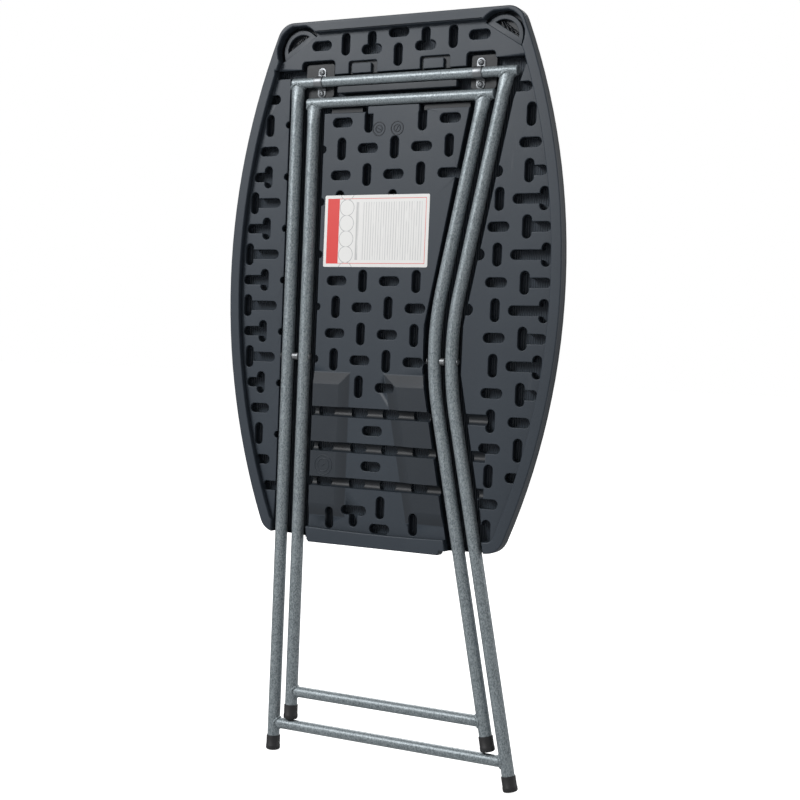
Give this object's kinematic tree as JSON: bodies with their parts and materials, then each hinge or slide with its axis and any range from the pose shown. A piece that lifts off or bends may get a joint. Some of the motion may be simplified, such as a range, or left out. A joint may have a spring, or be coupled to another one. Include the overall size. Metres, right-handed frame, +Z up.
{
  "type": "folding tray table",
  "caption": "Folding personal tray table with a bowed moulded top and two crossed tube leg frames that lie flat in channels in its underside.",
  "frame": {"origin": "On the floor at the level of the outer feet, under the middle of the folded table's width and depth", "axes": "X runs along the hinge bar with the bent legs at +X, Z is up along the folded table, and the slotted underside faces -Y"},
  "size_m": [0.468, 0.0266, 0.945],
  "materials": {
    "top_plastic": "dark grey moulded polyethylene with a fine texture",
    "label": "plain white film label",
    "zinc": "bright zinc plated steel",
    "rivet_steel": "plated steel rivet",
    "tube_paint": "silver-grey hammered powder coat",
    "foot_plastic": "black moulded plastic"
  },
  "bodies": {
    "top": {"tabletop": "top_plastic", "care_label": "label", "strap_left": "zinc", "strap_right": "zinc", "strap_screws_left": "zinc", "strap_screws_right": "zinc"},
    "outer_frame": {"outer_top_bar": "tube_paint", "outer_left_leg": "tube_paint", "outer_right_leg": "tube_paint", "outer_crossbar": "tube_paint", "outer_left_foot": "foot_plastic", "outer_right_foot": "foot_plastic", "pivot_rivet_left": "rivet_steel", "pivot_rivet_right": "rivet_steel", "pivot_spacer_left": "rivet_steel", "pivot_spacer_right": "rivet_steel"},
    "inner_frame": {"inner_top_bar": "tube_paint", "inner_left_leg": "tube_paint", "inner_right_leg": "tube_paint", "inner_crossbar": "tube_paint", "inner_left_foot": "foot_plastic", "inner_right_foot": "foot_plastic"}
  },
  "joints": [
    {"name": "strap_hinge", "type": "hinge", "parent": "top", "child": "outer_frame", "pos_m": [0, -0.00405, 0.868], "axis": [-1, 0, 0], "range_deg": [0, 90]},
    {"name": "cross_pivot", "type": "hinge", "parent": "outer_frame", "child": "inner_frame", "pos_m": [0, -0.00405, 0.515], "axis": [-1, 0, 0], "range_deg": [-90, 0]}
  ],
  "couplings": [
    {"joint": "cross_pivot", "follows": "strap_hinge", "ratio": -1}
  ]
}
